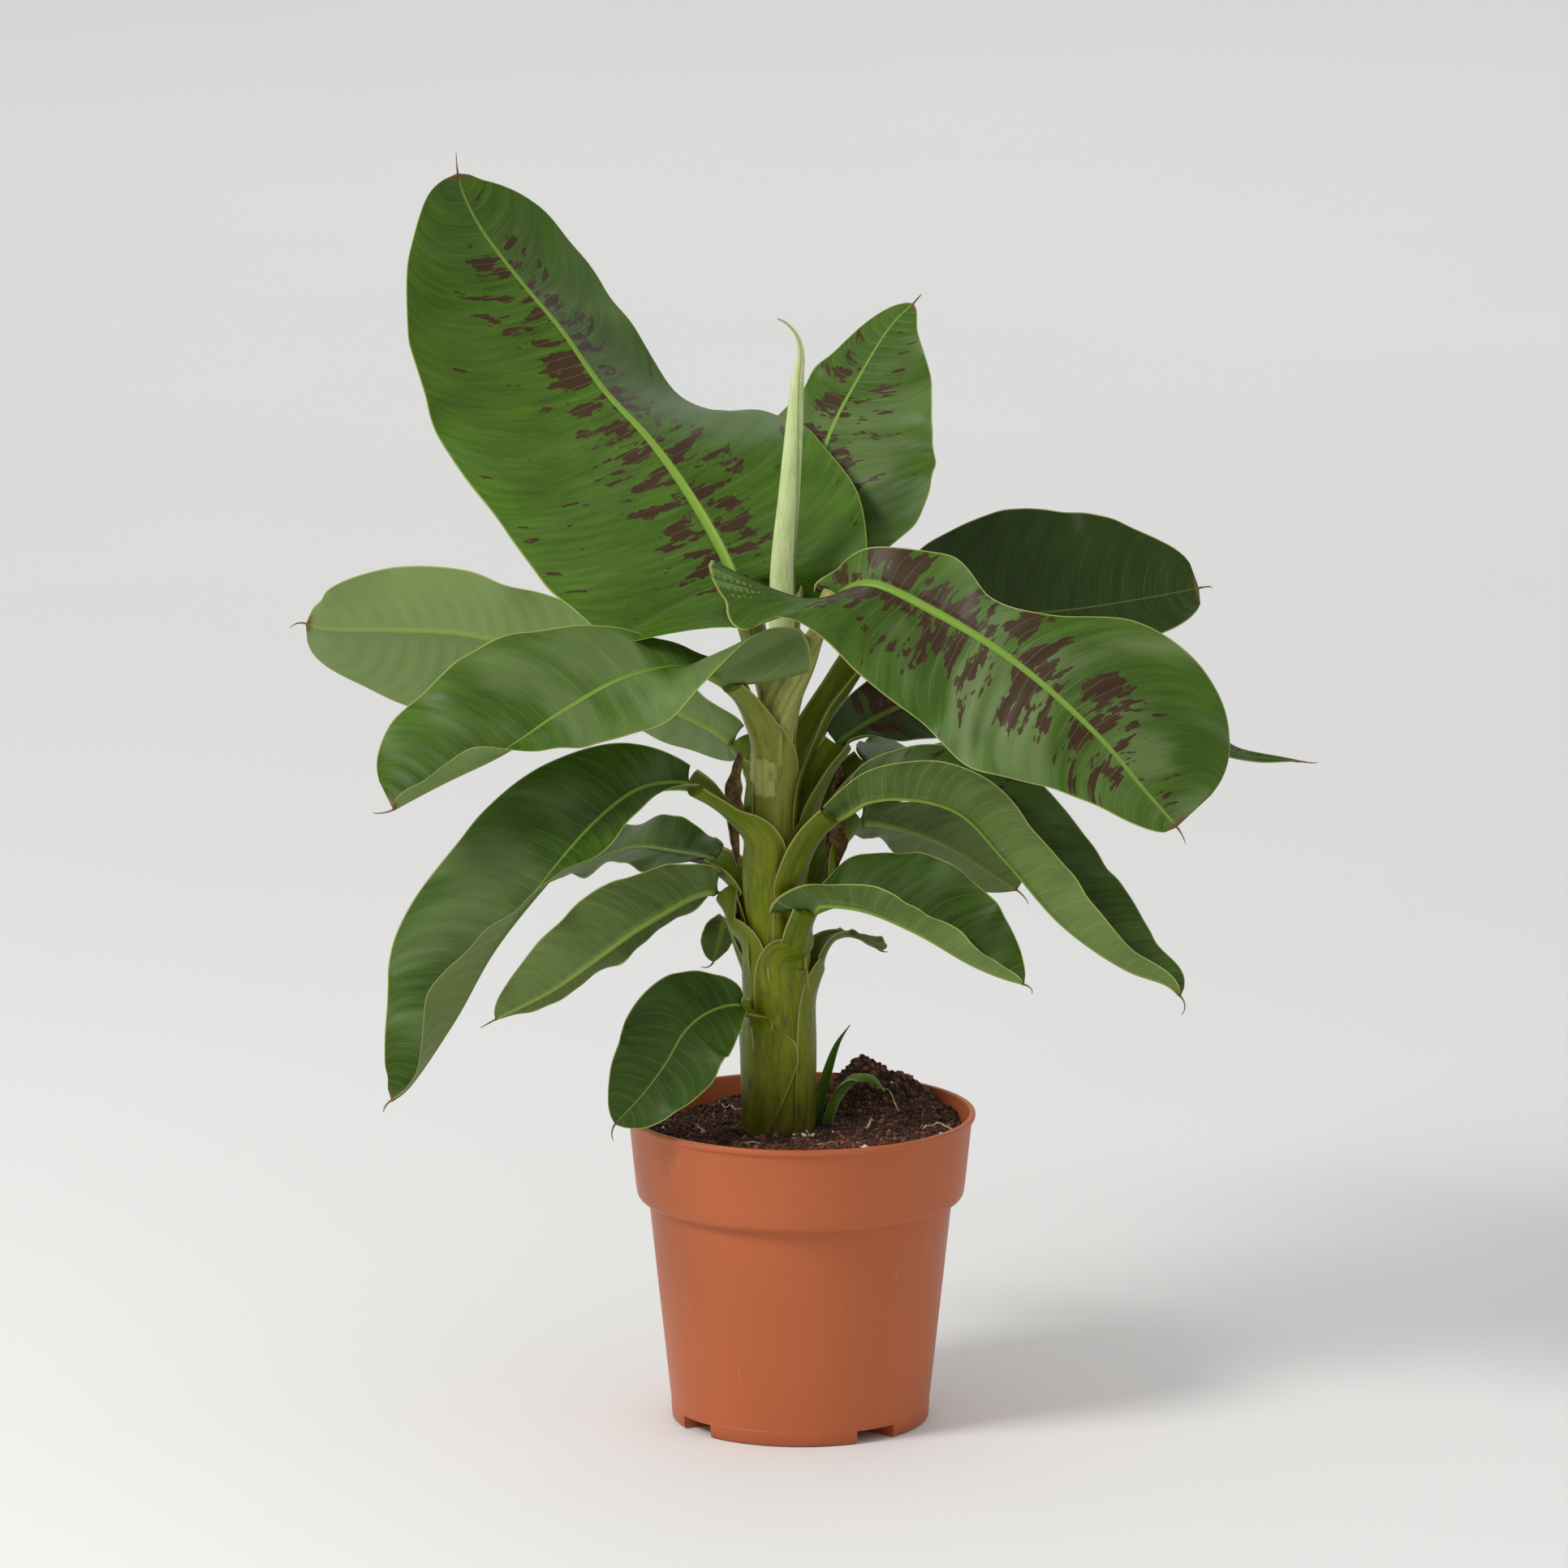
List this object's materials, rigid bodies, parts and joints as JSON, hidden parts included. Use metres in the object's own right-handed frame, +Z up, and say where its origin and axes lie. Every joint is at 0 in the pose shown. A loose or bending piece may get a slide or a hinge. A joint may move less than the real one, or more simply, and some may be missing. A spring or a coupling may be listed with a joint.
{
  "type": "potted banana plant",
  "caption": "Young dwarf banana plant with broad arching leaves on a stout stem of overlapping sheaths, rooted in compost in a tapered grow pot with a deep band under its rim.",
  "frame": {"origin": "centre of the pot's flat underside, on the ground", "axes": "+Z up; -Y is the front, the side the picture shows; +X is to its right"},
  "size_m": [0.6109, 0.355, 0.7413],
  "materials": {
    "pot": "satin",
    "soil": "matte",
    "stem": "satin",
    "young_leaf": "satin",
    "shoot": "satin",
    "stalk": "satin",
    "leaf": "satin",
    "dry_sheath": "matte"
  },
  "bodies": {
    "root": {"pot": "pot", "soil": "soil", "stem": "stem", "leaf_rolled": "young_leaf", "shoot_tall": "shoot", "shoot_low": "shoot", "leaf_tall_left_stalk": "stalk", "leaf_tall_left": "leaf", "leaf_tall_right_stalk": "stalk", "leaf_tall_right": "leaf", "leaf_broad_right_stalk": "stalk", "leaf_broad_right": "leaf", "leaf_back_right_high_stalk": "stalk", "leaf_back_right_high": "leaf", "leaf_back_left_high_stalk": "stalk", "leaf_back_left_high": "leaf", "leaf_broad_left_stalk": "stalk", "leaf_broad_left": "leaf", "leaf_long_left_stalk": "stalk", "leaf_long_left": "leaf", "leaf_back_left_mid_stalk": "stalk", "leaf_back_left_mid": "leaf", "leaf_low_left_stalk": "stalk", "leaf_low_left": "leaf", "leaf_foot_left_stalk": "stalk", "leaf_foot_left": "leaf", "leaf_low_right_stalk": "stalk", "leaf_low_right": "leaf", "leaf_long_right_stalk": "stalk", "leaf_long_right": "leaf", "leaf_back_right_mid_stalk": "stalk", "leaf_back_right_mid": "leaf", "leaf_back_right_small_stalk": "stalk", "leaf_back_right_small": "leaf", "leaf_far_right_stalk": "stalk", "leaf_far_right": "leaf", "leaf_back_right_low_stalk": "stalk", "leaf_back_right_low": "leaf", "leaf_back_left_low_stalk": "stalk", "leaf_back_left_low": "leaf", "dry_sheath_left": "dry_sheath", "dry_sheath_right": "dry_sheath"}
  },
  "joints": []
}
